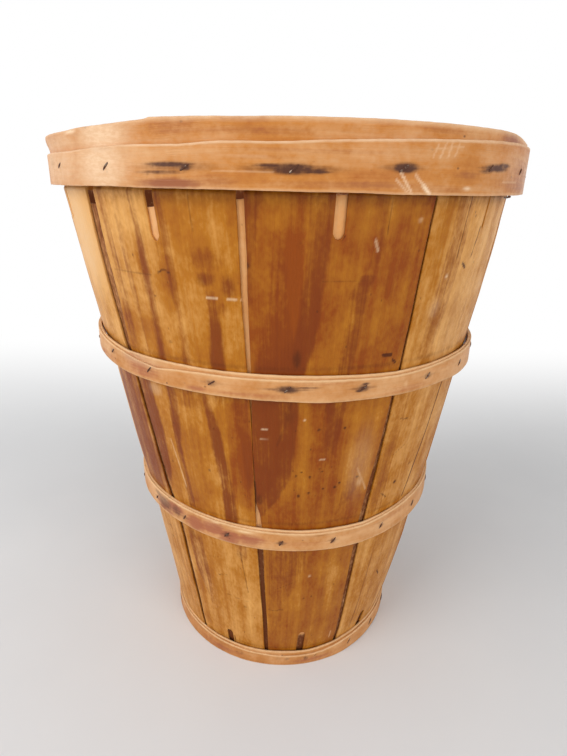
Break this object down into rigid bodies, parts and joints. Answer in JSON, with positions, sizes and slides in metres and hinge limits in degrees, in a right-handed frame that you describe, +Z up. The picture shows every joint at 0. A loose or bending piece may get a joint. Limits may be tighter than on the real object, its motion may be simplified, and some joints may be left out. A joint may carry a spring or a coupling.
{
  "type": "apple basket",
  "caption": "Tall tapered orchard basket of slotted wooden staves in layers, bound by stapled bent-wood hoops at the rim, wall and base, open at the top.",
  "frame": {"origin": "middle of the base, on the floor", "axes": "+Z up out of the mouth, -Y towards the side that the picture shows, +X to its right"},
  "size_m": [0.4418, 0.4418, 0.528],
  "materials": {
    "stave_wood": "aged varnish, honey brown with red-brown heart streaks",
    "inner_wood": "bare, pale tan",
    "hoop_wood": "worn, peach tan, pale edges",
    "rim_wood": "satin, orange tan",
    "board_wood": "bare, dusty",
    "staple_wire": "rusted dark steel wire"
  },
  "bodies": {
    "root": {"outer_stave_01": "stave_wood", "outer_stave_02": "stave_wood", "outer_stave_03": "stave_wood", "outer_stave_04": "stave_wood", "outer_stave_05": "stave_wood", "outer_stave_06": "stave_wood", "outer_stave_07": "stave_wood", "outer_stave_08": "stave_wood", "outer_stave_09": "stave_wood", "outer_stave_10": "stave_wood", "inner_stave_01": "inner_wood", "inner_stave_02": "inner_wood", "inner_stave_03": "inner_wood", "inner_stave_04": "inner_wood", "inner_stave_05": "inner_wood", "inner_stave_06": "inner_wood", "inner_stave_07": "inner_wood", "inner_stave_08": "inner_wood", "inner_stave_09": "inner_wood", "inner_stave_10": "inner_wood", "broad_rim_hoop": "rim_wood", "outer_rim_hoop": "rim_wood", "inner_rim_hoop": "inner_wood", "upper_hoop": "hoop_wood", "lower_hoop": "hoop_wood", "base_hoop": "hoop_wood", "base_board": "board_wood", "rim_staple_01": "staple_wire", "rim_staple_02": "staple_wire", "rim_staple_03": "staple_wire", "rim_staple_04": "staple_wire", "rim_staple_05": "staple_wire", "rim_staple_06": "staple_wire", "rim_staple_07": "staple_wire", "rim_staple_08": "staple_wire", "rim_staple_09": "staple_wire", "rim_staple_10": "staple_wire", "rim_staple_11": "staple_wire", "rim_staple_12": "staple_wire", "rim_staple_13": "staple_wire", "rim_staple_14": "staple_wire", "rim_staple_15": "staple_wire", "rim_staple_16": "staple_wire", "rim_staple_17": "staple_wire", "rim_staple_18": "staple_wire", "rim_staple_19": "staple_wire", "rim_staple_20": "staple_wire"}
  },
  "joints": []
}
